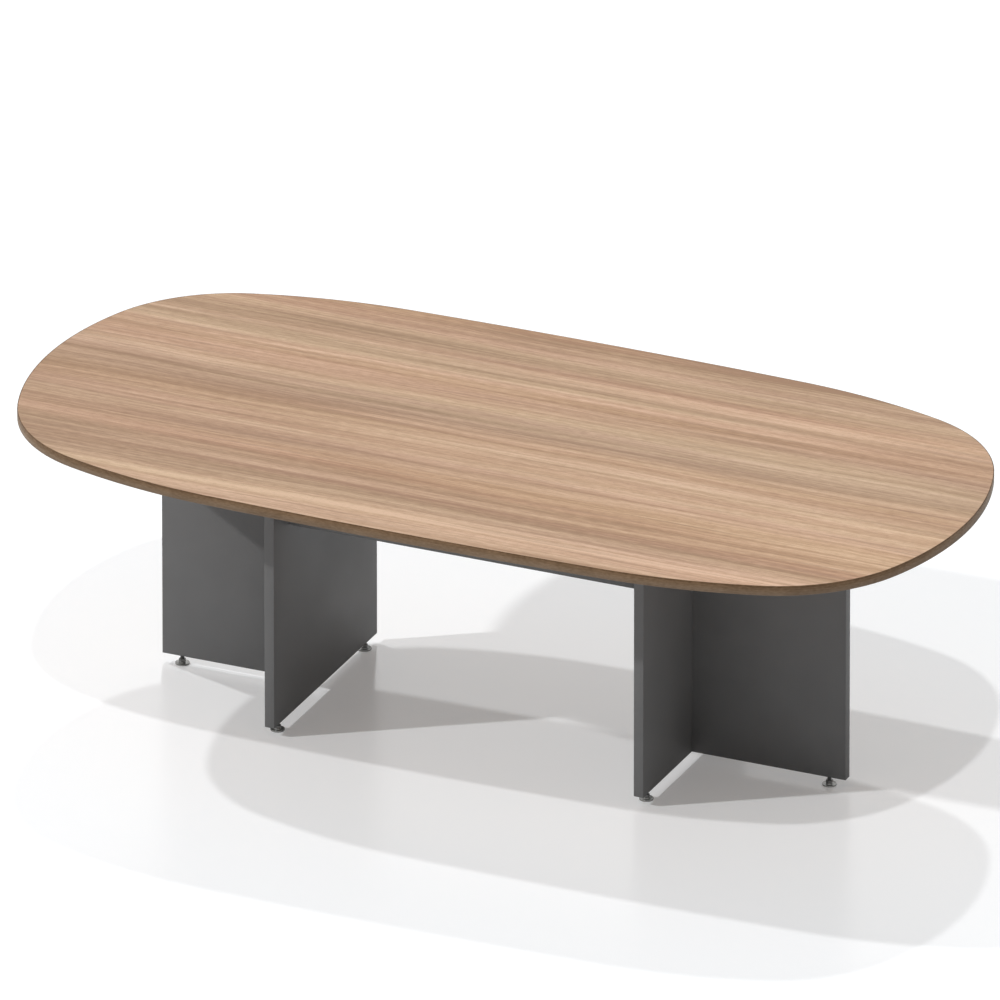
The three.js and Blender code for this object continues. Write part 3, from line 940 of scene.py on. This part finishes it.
@dataclass
class Board(Assembly):
    """A melamine board with banding strips on its open edges, drilled for what it carries."""

    node: str
    banded: tuple[BoardEdge, ...]
    bores: Sequence[Bore]
    strip: float = 1.0 * MM
    seam: float = 0.12 * MM
    arris: float = 0.25 * MM
    strip_round: float = 0.75 * MM
    round_steps: int = 4

    def build(self) -> None:
        """Model the board's core and one strip for each banded edge."""
        low, high = (Vector(corner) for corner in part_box(self.node))
        core_low, core_high = low.copy(), high.copy()
        for edge in self.banded:
            self._draw_in(core_low, core_high, edge)
        core = Bench.block(f"finished_{self.node}", core_low, core_high)
        Bench.ease(core, self.arris)
        self.add(self._drilled(core, core_low, core_high), GRAPHITE_MELAMINE, self.node)
        for edge in self.banded:
            self.add(self._banding(edge, low, high), GRAPHITE_BANDING, None)

    def _draw_in(self, low: Vector, high: Vector, edge: BoardEdge) -> None:
        """Draw one side of a box in by a strip and its seam.

        Args:
            low: The box's lowest corner, which may move.
            high: The box's highest corner, which may move.
            edge: The side that is drawn in.
        """
        axis, way = edge.value
        moved = low if way < 0 else high
        moved[axis] -= way * (self.strip + self.seam)

    def _drilled(self, piece: Piece, low: Vector, high: Vector) -> Piece:
        """Cut the bores that reach a piece between two corners, and shade it.

        Args:
            piece: The piece.
            low: Its lowest corner.
            high: Its highest corner.

        Returns:
            The same piece.
        """
        for bore in self.bores:
            if bore.reaches(low, high):
                bore.drill(piece)
        return Bench.smooth(piece)

    def _banding(self, edge: BoardEdge, low: Vector, high: Vector) -> Piece:
        """Model the strip on one edge, with its outer arrises rounded.

        Args:
            edge: The board's edge.
            low: The board's lowest corner.
            high: The board's highest corner.

        Returns:
            The strip.
        """
        axis, way = edge.value
        strip_low, strip_high = low.copy(), high.copy()
        outer = low[axis] if way < 0 else high[axis]
        inner = outer - way * self.strip
        strip_low[axis], strip_high[axis] = min(outer, inner), max(outer, inner)
        if edge is BoardEdge.BOTTOM:
            for other in self.banded:
                if other is not edge:
                    self._draw_in(strip_low, strip_high, other)
        piece = Bench.block(f"{self.node}_{edge.label}_banding", strip_low, strip_high)
        longest = max(strip_high - strip_low)

        def is_long_outer(line: bmesh.types.BMEdge) -> bool:
            """Say whether a line is one of the strip's two long outer arrises."""
            on_face = all(abs(vert.co[axis] - outer) < TINY for vert in line.verts)
            return on_face and line.calc_length() > longest - MM

        with Bench.editing(piece):
            Bench.pick(piece, Element.EDGE, is_long_outer)
            bpy.ops.mesh.bevel(offset=self.strip_round, segments=self.round_steps, affect="EDGES")
        return self._drilled(piece, strip_low, strip_high)


@dataclass(frozen=True)
class Arc:
    """One arc of an outline, turned about its centre from one angle to another."""

    centre: Vector
    radius: float
    start: float
    end: float


@dataclass
class TableTop(Assembly):
    """The barrel-shaped board and the lipping glued round its edge."""

    bores: Sequence[Bore]
    corner_radius: float = 392 * MM
    corner_from_end: float = 420 * MM
    corner_from_side: float = 449 * MM
    shoulder_radius: float = 1430 * MM
    shoulder_start: float = math.radians(72.3)
    lipping: float = 2 * MM
    glue_line: float = 0.1 * MM
    lip_round: float = 1.0 * MM
    round_steps: int = 4
    arris: float = 0.15 * MM
    arc_steps: int = 16

    def build(self) -> None:
        """Model the board and the lipping."""
        self.add(self._board(), WoodDecor(), "table_top")
        self.add(self._lipping(), BrownLipping(), "top_edge_band")

    def arcs(self) -> list[Arc]:
        """Work out the four tangent arcs of one quarter of the outline.

        Returns:
            The end's arc, the corner, the shoulder and the long side's arc, in that order.
        """
        _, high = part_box("top_edge_band")
        end, side = high.x, high.y
        corner = Vector((end - self.corner_from_end, side - self.corner_from_side, 0))
        ease = Vector((math.cos(self.shoulder_start), math.sin(self.shoulder_start), 0))
        shoulder = corner + ease * (self.corner_radius - self.shoulder_radius)
        corner_drop = self.corner_radius**2 - (corner.x - end) ** 2 - corner.y**2
        end_radius = corner_drop / (2 * (corner.x - end + self.corner_radius))
        shoulder_drop = self.shoulder_radius**2 - shoulder.x**2 - (shoulder.y - side) ** 2
        side_radius = shoulder_drop / (2 * (shoulder.y - side + self.shoulder_radius))
        end_centre = Vector((end - end_radius, 0, 0))
        side_centre = Vector((0, side - side_radius, 0))
        corner_start = math.atan2(corner.y, corner.x - end_centre.x)
        side_start = math.atan2(shoulder.y - side_centre.y, shoulder.x)
        return [
            Arc(end_centre, end_radius, 0.0, corner_start),
            Arc(corner, self.corner_radius, corner_start, self.shoulder_start),
            Arc(shoulder, self.shoulder_radius, self.shoulder_start, side_start),
            Arc(side_centre, side_radius, side_start, math.pi / 2),
        ]

    def _outline(self, name: str, inset: float, height: float) -> Piece:
        """Draw the closed outline, drawn in by an inset, as a loop of edges.

        Args:
            name: Name of the loop.
            inset: Distance inside the table's edge.
            height: Height of the loop.

        Returns:
            The loop.
        """
        arcs = self.arcs()
        first = arcs[0].centre.x + arcs[0].radius - inset
        bpy.ops.mesh.primitive_plane_add(size=1 * MM, location=(first, 0, height))
        loop = Bench.settle(name)
        with Bench.editing(loop):
            Bench.take_all(Element.VERT)
            bpy.ops.mesh.merge(type="CENTER")
            for arc in arcs:
                centre = (arc.centre.x, arc.centre.y, height)
                turn = arc.end - arc.start
                bpy.ops.mesh.spin(steps=self.arc_steps, angle=turn, center=centre, axis=(0, 0, -1))
        mirror = {"use_axis": (True, True, False), "use_mirror_merge": True, "merge_threshold": 0.01 * MM}
        Bench.modify(loop, "MIRROR", **mirror)
        return loop

    def _board(self) -> Piece:
        """Model the wood-decor board, drilled from below for the bolts.

        Returns:
            The board.
        """
        low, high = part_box("top_edge_band")
        board = self._outline("finished_table_top", self.lipping + self.glue_line, low.z)
        with Bench.editing(board):
            Bench.take_all(Element.VERT)
            bpy.ops.mesh.edge_face_add()
            Bench.lift(high.z - low.z)
        Bench.ease(board, self.arris, segments=1)
        for bore in self.bores:
            bore.drill(board)
        return Bench.smooth(board)

    def _lipping(self) -> Piece:
        """Model the lipping as a ring with its outer arrises rounded.

        Returns:
            The ring.
        """
        low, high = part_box("top_edge_band")
        outer = self._outline("finished_top_edge_band", 0.0, low.z)
        ring = Bench.assemble(outer, self._outline("lipping_inner", self.lipping, low.z))
        with Bench.editing(ring):
            Bench.take_all(Element.EDGE)
            bpy.ops.mesh.bridge_edge_loops()
            Bench.lift(high.z - low.z)
            Bench.pick(ring, Element.EDGE, self._is_outer_arris)
            bpy.ops.mesh.bevel(offset=self.lip_round, segments=self.round_steps, affect="EDGES")
        return Bench.smooth(ring)

    @staticmethod
    def _is_outer_arris(edge: bmesh.types.BMEdge) -> bool:
        """Say whether an edge lies between a level face and one that looks away from the table.

        Args:
            edge: The edge.

        Returns:
            True if it is an outer arris.
        """
        middle = (edge.verts[0].co + edge.verts[1].co) / 2
        level = [face for face in edge.link_faces if abs(face.normal.z) > LEVEL_NORMAL]
        outward = [face for face in edge.link_faces if face.normal.xy.dot(middle.xy) > TINY]
        return len(level) == 1 and len(outward) == 1


@dataclass
class Joint:
    """Where a fitting sits: its frame, and the boards it is bored into.

    The frame's X runs along the fitting from the board that is bored in its face to the board that is
    bored in its edge, and its Z runs towards the face that a cam opens on.
    """

    name: str
    along: Vector
    opens: Vector
    face_board: str
    edge_board: str

    def frame(self, node: str, tip: float) -> Matrix:
        """Work out the joint's frame from a node that lies along it.

        Args:
            node: The bolt or the dowel.
            tip: How far that node reaches into the face board.

        Returns:
            From the fitting's frame to the table's.
        """
        low, high = (Vector(corner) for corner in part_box(node))
        reach = abs((high - low).dot(self.along))
        origin = (low + high) / 2 - self.along * (reach / 2 - tip)
        across = self.opens.cross(self.along)
        basis = Matrix((self.along, across, self.opens)).transposed().to_4x4()
        return Matrix.Translation(origin) @ basis


class JointPlan:
    """The places of every cam fitting and dowel of the table."""

    down: ClassVar[Vector] = Vector((0, 0, -1))
    rear: ClassVar[Vector] = Vector((0, 1, 0))

    @classmethod
    def cams(cls) -> list[Joint]:
        """List the cam joints of the legs, the rails and the top.

        Returns:
            The joints.
        """
        joints = []
        for side in Side:
            out, leg = Vector((side.value, 0, 0)), side.label
            cross, stem = f"{leg}_cross_panel", f"{leg}_stem_panel"
            for level in ("lower", "upper"):
                joints.append(Joint(f"{leg}_stem_{level}", out, cls.rear, cross, stem))
            for half in Half:
                joints.append(Joint(f"{leg}_{half.label}_top", cls.down, -out, "table_top", cross))
            joints.append(Joint(f"{leg}_stem_top", cls.down, cls.rear, "table_top", stem))
        return joints + cls._rail_ends()

    @classmethod
    def dowels(cls) -> list[Joint]:
        """List the dowel joints of the legs and the rails.

        Returns:
            The joints.
        """
        joints = []
        for side in Side:
            boards = (f"{side.label}_cross_panel", f"{side.label}_stem_panel")
            joints.append(Joint(f"{side.label}_stem", Vector((side.value, 0, 0)), cls.rear, *boards))
        return joints + cls._rail_ends()

    @staticmethod
    def _rail_ends() -> list[Joint]:
        """List the joints at the ends of the rails, which open between the rails.

        Returns:
            The joints.
        """
        joints = []
        for half in Half:
            for side in Side:
                inward, between = Vector((-side.value, 0, 0)), Vector((0, -half.value, 0))
                boards = (f"{side.label}_cross_panel", f"{half.label}_rail")
                joints.append(Joint(f"{half.label}_rail_{side.label}", inward, between, *boards))
        return joints


@dataclass
class CamFittings(Assembly):
    """The cams and their bolts, modelled once and put in every joint."""

    cam_radius: float = 7.5 * MM
    cam_below: float = 4 * MM
    cam_foot: float = 0.6 * MM
    cam_arris: float = 0.3 * MM
    board: float = 25 * MM
    slot_length: float = 9 * MM
    slot_width: float = 1.8 * MM
    slot_depth: float = 2.5 * MM
    rim: float = 1.1 * MM
    dish: float = 0.4 * MM
    pointer_radius: float = 0.7 * MM
    pointer_depth: float = 2 * MM
    pointer_inset: float = 1.1 * MM
    pointer_rise: float = 0.75 * MM
    reach: float = 34 * MM
    bolt_radius: float = 3.5 * MM
    shank_radius: float = 3.1 * MM
    collar_length: float = 1.6 * MM
    neck_radius: float = 2.5 * MM
    neck_length: float = 6 * MM
    head_length: float = 6 * MM
    thread_root: float = 2.1 * MM
    thread_crest: float = 3 * MM
    thread_pitch: float = 2.2 * MM
    thread_depth: float = 11 * MM
    clearance: float = 0.3 * MM
    over_face: float = 5 * MM

    def build(self) -> None:
        """Model one cam and one bolt, and copy them to every joint."""
        cam, bolt = self._cam(), self._bolt()
        for joint in JointPlan.cams():
            place = self._frame(joint)
            seat = place @ Matrix.Translation((self.reach, 0, 0))
            self.put(cam, CAST_ZINC, f"{joint.name}_cam", seat)
            self.put(bolt, BOLT_STEEL, f"{joint.name}_bolt", place @ LIE_DOWN)
        Bench.scrap(cam, bolt)

    def bores(self, board: str) -> list[Bore]:
        """List the bores that a board needs for its cams and bolts.

        Args:
            board: The board's node.

        Returns:
            The cam seats, shank bores and tip bores in that board.
        """
        found = []
        floor, mouth = -self.cam_below - self.clearance, self.board / 2 + self.over_face
        for joint in JointPlan.cams():
            place = self._frame(joint)
            if joint.edge_board == board:
                seat = [place @ Vector((self.reach, 0, height)) for height in (floor, mouth)]
                shank = [place @ Vector((x, 0, 0)) for x in (-self.clearance, self.reach)]
                found.append(Bore(*seat, self.cam_radius + self.clearance))
                found.append(Bore(*shank, self.bolt_radius + self.clearance))
            if joint.face_board == board:
                tip = -self.thread_depth - self.clearance
                points = [place @ Vector((x, 0, 0)) for x in (tip, self.clearance)]
                found.append(Bore(*points, self.thread_crest + self.clearance))
        return found

    def _frame(self, joint: Joint) -> Matrix:
        """Work out a joint's frame from its bolt."""
        return joint.frame(f"{joint.name}_bolt", self.thread_depth)

    def _cam(self) -> Piece:
        """Model a cam with its axis on Z: a rimmed disc with a crossed slot, a mouth and a pointer.

        Returns:
            The cam.
        """
        face = self.board / 2
        radius, dish = self.cam_radius, face - self.dish
        profile = [
            (radius - self.cam_foot, -self.cam_below), (radius, -self.cam_below + self.cam_foot),
            (radius, face - self.cam_arris), (radius - self.cam_arris, face),
            (radius - self.rim, face), (radius - self.rim - self.cam_arris, dish),
        ]
        cam = Bench.turned("cam", profile, sides=48)
        for along, wide in ((self.slot_length, self.slot_width), (self.slot_width, self.slot_length)):
            low = Vector((-along / 2, -wide / 2, face - self.slot_depth))
            high = Vector((along / 2, wide / 2, face + self.slot_depth))
            Bench.combine(cam, Bench.block("slot", low, high))
        start = Vector((-2 * radius, 0, 0))
        end = Vector((self.head_length / 2 + self.clearance, 0, 0))
        Bench.combine(cam, Bench.rod("mouth", self.bolt_radius + self.clearance, start, end, sides=32))
        Bench.combine(cam, self._pointer(dish))
        return Bench.smooth(cam, angle=30)

    def _pointer(self, dish: float) -> Piece:
        """Model the cutter of the small mark that points at the bolt.

        Args:
            dish: Height of the dished face that it marks.

        Returns:
            The cutter.
        """
        bpy.ops.mesh.primitive_cylinder_add(
            vertices=3,
            radius=self.pointer_radius,
            depth=self.pointer_depth,
            location=(-self.cam_radius + self.rim + self.pointer_inset, 0, dish + self.pointer_rise),
            rotation=(0, 0, math.pi / 2),
        )
        return Bench.settle("pointer")

    def _bolt(self) -> Piece:
        """Model a bolt along Z: a threaded tip, a collar, a shank, a neck and a rounded head.

        Returns:
            The bolt.
        """
        head = self.reach - self.head_length / 2
        neck, end = head - self.neck_length, head + self.head_length
        radius = self.bolt_radius
        collar = [
            (self.thread_root, -0.5 * MM), (radius - 0.2 * MM, 0.0), (radius, 0.3 * MM),
            (radius, self.collar_length),
        ]
        shank = [
            (self.shank_radius, self.collar_length + 0.4 * MM), (self.shank_radius, neck - 0.8 * MM),
            (self.neck_radius, neck), (self.neck_radius, head),
        ]
        rounded_head = [
            (radius - 0.5 * MM, head + 0.1 * MM), (radius, head + 0.8 * MM), (radius, end - 1.6 * MM),
            (radius - 0.7 * MM, end - 0.4 * MM), (radius - 1.6 * MM, end),
        ]
        body = Bench.turned("bolt", collar + shank + rounded_head, sides=32)
        ends = (-self.thread_depth, -0.2 * MM)
        tip = Bench.threaded("tip", self.thread_root, self.thread_crest, self.thread_pitch, *ends)
        return Bench.smooth(Bench.assemble(body, tip), angle=30)


@dataclass
class Dowels(Assembly):
    """The fluted dowels, modelled once and put in every joint."""

    radius: float = 4 * MM
    in_face: float = 12 * MM
    in_edge: float = 23 * MM
    chamfer: float = 1 * MM
    flutes: int = 18
    flute_sides: int = 4
    flute_depth: float = 0.3 * MM
    clearance: float = 0.3 * MM

    def build(self) -> None:
        """Model one dowel and copy it to every joint."""
        dowel = self._dowel()
        for joint in JointPlan.dowels():
            self.put(dowel, Beech(), f"{joint.name}_dowel", self._frame(joint) @ LIE_DOWN)
        Bench.scrap(dowel)

    def bores(self, board: str) -> list[Bore]:
        """List the bores that a board needs for its dowels.

        Args:
            board: The board's node.

        Returns:
            The dowel bores in that board.
        """
        found = []
        for joint in JointPlan.dowels():
            place = self._frame(joint)
            ends = {joint.edge_board: self.in_edge, joint.face_board: -self.in_face}
            if board in ends:
                past = math.copysign(self.clearance, ends[board])
                points = [place @ Vector((x, 0, 0)) for x in (-past, ends[board] + past)]
                found.append(Bore(*points, self.radius + self.clearance))
        return found

    def _frame(self, joint: Joint) -> Matrix:
        """Work out a joint's frame from its dowel."""
        return joint.frame(f"{joint.name}_dowel", self.in_face)

    def _dowel(self) -> Piece:
        """Model a dowel along Z, with straight flutes and chamfered ends.

        Returns:
            The dowel.
        """
        profile = [
            (self.radius - self.chamfer, -self.in_face), (self.radius, -self.in_face + self.chamfer),
            (self.radius, self.in_edge - self.chamfer), (self.radius - self.chamfer, self.in_edge),
        ]
        dowel = Bench.turned("dowel", profile, sides=self.flute_sides * self.flutes)
        step = 2 * math.pi / self.flutes

        def in_flute(vert: bmesh.types.BMVert) -> bool:
            """Say whether a point lies on the line of a flute, by its turn about the dowel."""
            off = abs(math.remainder(math.atan2(vert.co.x, vert.co.y), step))
            return off < step / (2 * self.flute_sides) and vert.co.xy.length > self.radius - TINY

        shrink = 1 - self.flute_depth / self.radius
        with Bench.editing(dowel):
            Bench.pick(dowel, Element.VERT, in_flute)
            bpy.ops.transform.resize(value=(shrink, shrink, 1), center_override=(0, 0, 0))
        return Bench.smooth(dowel, angle=25)


@dataclass
class LevellingFeet(Assembly):
    """The screw feet: a pad, a screw with a hexagon collar, and a sleeve in the panel."""

    pad_radius: float = 17.5 * MM
    pad_rim: float = 4 * MM
    pad_height: float = 7 * MM
    pad_floor: float = 3 * MM
    boss_wall: float = 2.7 * MM
    screw_radius: float = 5 * MM
    thread_root: float = 4.1 * MM
    thread_play: float = 0.03 * MM
    pitch: float = 1.5 * MM
    hex_flats: float = 15 * MM
    hex_height: float = 6.5 * MM
    hex_overlap: float = 0.4 * MM
    hex_chamfer: float = math.radians(30)
    sleeve_wall: float = 2.7 * MM
    sleeve_lip: float = 2 * MM
    sleeve_nose: float = 1 * MM
    sleeve_bevel: float = 0.5 * MM
    barbs: int = 5
    barb_depth: float = 0.7 * MM
    run_out: float = 11 * MM
    clearance: float = 0.3 * MM

    @staticmethod
    def names() -> list[str]:
        """List the feet by side and place."""
        return [f"{side.label}_{place}" for side in Side for place in ("front", "rear", "stem")]

    def build(self) -> None:
        """Model one foot and copy its pieces under the panels."""
        pad, screw, sleeve = self._pad(), self._screw(), self._sleeve()
        for name in self.names():
            place = Matrix.Translation(self._middle(name))
            self.put(pad, PAD_STEEL, f"{name}_foot_pad", place, f"{name}_pad")
            self.put(screw, SCREW_STEEL, f"{name}_foot_stud", place, f"{name}_stud")
            self.put(sleeve, SLEEVE_STEEL, f"{name}_foot_insert", place)
        Bench.scrap(pad, screw, sleeve)

    def bores(self, board: str) -> list[Bore]:
        """List the bores that a panel needs for its feet.

        Args:
            board: The panel's node.

        Returns:
            The sleeve seats and the bores that the screws run out into.
        """
        found = []
        board_low, board_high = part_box(board)
        for name in self.names():
            middle = self._middle(name)
            low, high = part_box(f"{name}_foot_insert")
            _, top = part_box(f"{name}_foot_stud")
            if not all(board_low[axis] < middle[axis] < board_high[axis] for axis in (0, 1)):
                continue
            heights = (low.z - MM, high.z + self.clearance, top.z + self.run_out)
            start, seat_end, run_end = (Vector((middle.x, middle.y, height)) for height in heights)
            found.append(Bore(start, seat_end, (high.x - low.x) / 2 + self.clearance))
            found.append(Bore(start, run_end, self.screw_radius + self.clearance))
        return found

    @staticmethod
    def _middle(name: str) -> Vector:
        """Find the point on the floor under a foot's axis."""
        low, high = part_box(f"{name}_foot_pad")
        return Vector(((low.x + high.x) / 2, (low.y + high.y) / 2, 0))

    def _pad(self) -> Piece:
        """Model a pad: a disc with a raised rim, dished towards a boss that holds the screw's round end.

        Returns:
            The pad, with its axis at the origin.
        """
        radius, rim, top = self.pad_radius, self.pad_rim, self.pad_height
        socket = self.screw_radius + self.clearance
        boss = socket + self.boss_wall
        rounded_rim = [
            (radius - 1.0 * MM, 0.0), (radius - 0.3 * MM, 0.3 * MM), (radius, 1.0 * MM),
            (radius, rim - 0.8 * MM), (radius - 0.25 * MM, rim - 0.25 * MM), (radius - 0.8 * MM, rim),
        ]
        dish = [
            (radius - 1.4 * MM, rim - 0.15 * MM), (radius - 2.2 * MM, rim - 0.6 * MM),
            (boss + 1.4 * MM, rim - 0.7 * MM), (boss + 0.4 * MM, rim - 0.4 * MM),
        ]
        bored_boss = [
            (boss, rim + 0.4 * MM), (boss, top - 0.5 * MM), (boss - 0.5 * MM, top),
            (socket + 0.3 * MM, top), (socket, top - 0.3 * MM), (socket, self.pad_floor),
        ]
        return Bench.smooth(Bench.turned("pad", rounded_rim + dish + bored_boss, sides=72), angle=40)

    def _screw(self) -> Piece:
        """Model a screw: a round end in the pad, a chamfered hexagon and a threaded shank.

        Returns:
            The screw, with its axis at the origin.
        """
        low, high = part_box("left_front_foot_stud")
        hex_low = self.pad_height + self.clearance
        hex_high = hex_low + self.hex_height
        flat = self.hex_flats / 2
        corner = flat / math.cos(math.pi / 6)
        ends = (Vector((0, 0, hex_low)), Vector((0, 0, hex_high)))
        collar = Bench.rod("collar", corner, *ends, sides=6)
        chamfer = (corner - flat) * math.tan(self.hex_chamfer) + 0.1 * MM
        barrel = [
            (flat - 0.1 * MM, hex_low), (corner + 0.02 * MM, hex_low + chamfer),
            (corner + 0.02 * MM, hex_high - chamfer), (flat - 0.1 * MM, hex_high),
        ]
        Bench.combine(collar, Bench.turned("barrel", barrel, sides=72), "INTERSECT")
        round_end = [
            (self.screw_radius - 0.8 * MM, low.z), (self.screw_radius, low.z + 0.6 * MM),
            (self.screw_radius, hex_low + self.hex_overlap),
        ]
        end = Bench.turned("end", round_end, sides=40)
        crest, start = self.screw_radius - self.thread_play, hex_high - self.hex_overlap
        shank = Bench.threaded("shank", self.thread_root, crest, self.pitch, start, high.z)
        return Bench.smooth(Bench.assemble(collar, end, shank), angle=25)

    def _sleeve(self) -> Piece:
        """Model a sleeve: a bored barrel with barbs that grip the panel.

        Returns:
            The sleeve, with its axis at the origin.
        """
        low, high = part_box("left_front_foot_insert")
        inner = self.screw_radius + self.clearance
        outer = inner + self.sleeve_wall
        rise = (high.z - low.z - self.sleeve_lip - self.sleeve_nose) / self.barbs
        mouth = (inner + self.sleeve_bevel, low.z)
        profile = [mouth, (outer - 0.2 * MM, low.z), (outer, low.z + 0.2 * MM)]
        profile.append((outer, low.z + self.sleeve_lip))
        for barb in range(self.barbs):
            start = low.z + self.sleeve_lip + barb * rise
            profile.append((outer - self.barb_depth, start + 0.1 * MM))
            profile.append((outer, start + rise))
        profile.append((outer - 0.8 * MM, high.z))
        profile += [(inner, high.z), (inner, low.z + self.sleeve_bevel), mouth]
        return Bench.smooth(Bench.turned("sleeve", profile, sides=56, sleeve=True), angle=25)


@dataclass(frozen=True)
class Lamp:
    """A distant lamp, by the way to it and its share of the light on a level surface."""

    name: str
    towards: tuple[float, float, float]
    share: float
    softness: float = 1.5

    def hang(self) -> None:
        """Add the lamp to the scene."""
        way = Vector(self.towards).normalized()
        bpy.ops.object.light_add(type="SUN", rotation=(-way).to_track_quat("-Z", "Y").to_euler())
        lamp = bpy.context.view_layer.objects.active
        lamp.name = lamp.data.name = self.name
        lamp.data.energy = self.share * math.pi / way.z
        lamp.data.angle = math.radians(self.softness)


@dataclass
class Studio:
    """The pale floor, the lamps, the white backdrop and the camera."""

    azimuth: float = 24.06
    elevation: float = 24.49
    aim: tuple[float, float, float] = (-0.1010, 0.1980, 0.4874)
    frame_width: float = 2.394
    lens: float = 1400.0
    sensor: float = 36.0
    ambient: float = 0.23
    floor_size: float = 120.0
    floor_tone: Tint = (0.942, 0.96, 0.978, 1.0)
    floor_roughness: float = 0.22
    floor_specular: float = 0.25
    floor_glow: float = 0.16
    white: Tint = (1.0, 1.0, 1.0, 1.0)
    lamps: tuple[Lamp, ...] = (
        Lamp("left_lamp", (-0.80, 0.26, 1.0), 0.20),
        Lamp("rear_lamp", (-0.31, 0.74, 1.0), 0.16),
        Lamp("front_lamp", (0.13, -0.36, 1.0), 0.20),
        Lamp("left_front_lamp", (-0.70, -0.47, 0.54), 0.24),
    )

    def build(self) -> None:
        """Set the camera, the lamps, the world and the floor."""
        bpy.context.scene.view_settings.view_transform = "Standard"
        self._camera()
        for lamp in self.lamps:
            lamp.hang()
        self._world()
        self._floor()

    def _camera(self) -> None:
        """Set a long-lens camera, far enough off that the view is nearly parallel."""
        around, above = math.radians(self.azimuth), math.radians(self.elevation)
        level = math.cos(above)
        back = Vector((math.sin(around) * level, -math.cos(around) * level, math.sin(above)))
        far = self.frame_width * self.lens / self.sensor
        turn = (-back).to_track_quat("-Z", "Y").to_euler()
        bpy.ops.object.camera_add(location=Vector(self.aim) + back * far, rotation=turn)
        camera = bpy.context.view_layer.objects.active
        camera.data.lens, camera.data.sensor_width = self.lens, self.sensor
        camera.data.clip_end = 4 * far
        bpy.context.scene.camera = camera

    def _seen(self, sheet: NodeSheet) -> Socket:
        """Say whether a ray comes from the camera, a mirror or glass.

        Args:
            sheet: The nodes of the world or the floor.

        Returns:
            The socket of 1 for such a ray, and 0 for any other.
        """
        path = sheet.add("ShaderNodeLightPath").outputs
        mirrored = sheet.maths("ADD", path["Is Glossy Ray"], path["Is Transmission Ray"])
        return sheet.maths("MINIMUM", sheet.maths("ADD", path["Is Camera Ray"], mirrored), 1.0)

    def _world(self) -> None:
        """Light the scene evenly, and show white where nothing stands."""
        world = bpy.data.worlds.new("Studio")
        world.use_nodes = True
        bpy.context.scene.world = world
        sheet = NodeSheet(world.node_tree)
        background = world.node_tree.nodes["Background"]
        background.inputs["Color"].default_value = self.white
        strength = sheet.spread(self._seen(sheet), 0.0, 1.0, self.ambient, 1.0)
        sheet.feed(strength, background.inputs["Strength"])

    def _floor(self) -> None:
        """Lay a pale floor with a faint gloss, which is clear from below."""
        bpy.ops.mesh.primitive_plane_add(size=self.floor_size)
        floor = Bench.settle("floor")
        material = bpy.data.materials.new("Pale floor")
        material.use_nodes = True
        sheet = NodeSheet(material.node_tree)
        shader = material.node_tree.nodes["Principled BSDF"]
        settings = {
            "Base Color": self.floor_tone,
            "Roughness": self.floor_roughness,
            "Specular IOR Level": self.floor_specular,
            "Emission Color": self.white,
            "Emission Strength": sheet.times(self._seen(sheet), self.floor_glow),
        }
        for name, value in settings.items():
            sheet.feed(value, shader.inputs[name])
        clear = sheet.add("ShaderNodeBsdfTransparent").outputs[0]
        below = sheet.add("ShaderNodeNewGeometry").outputs["Backfacing"]
        mix = sheet.add("ShaderNodeMixShader", enumerate((below, shader.outputs[0], clear)))
        sheet.feed(mix.outputs[0], material.node_tree.nodes["Material Output"].inputs["Surface"])
        floor.data.materials.append(material)


def main() -> None:
    """Build the studio and the table, piece by piece."""
    logging.basicConfig(level=logging.INFO, format="%(name)s: %(message)s")
    Studio().build()
    cams, dowels, feet = CamFittings(), Dowels(), LevellingFeet()
    assemblies: list[Assembly] = [TableTop(cams.bores("table_top"))]
    banded: dict[str, tuple[BoardEdge, ...]] = {}
    for side in Side:
        banded[f"{side.label}_cross_panel"] = (BoardEdge.FRONT, BoardEdge.REAR, BoardEdge.BOTTOM)
        banded[f"{side.label}_stem_panel"] = (BoardEdge[side.name], BoardEdge.BOTTOM)
    for half in Half:
        banded[f"{half.label}_rail"] = (BoardEdge.BOTTOM,)
    for board, edges in banded.items():
        bores = cams.bores(board) + dowels.bores(board) + feet.bores(board)
        assemblies.append(Board(board, edges, bores))
    for assembly in (*assemblies, cams, dowels, feet):
        assembly.build()
        assembly.dress()


if __name__ == "__main__":
    main()
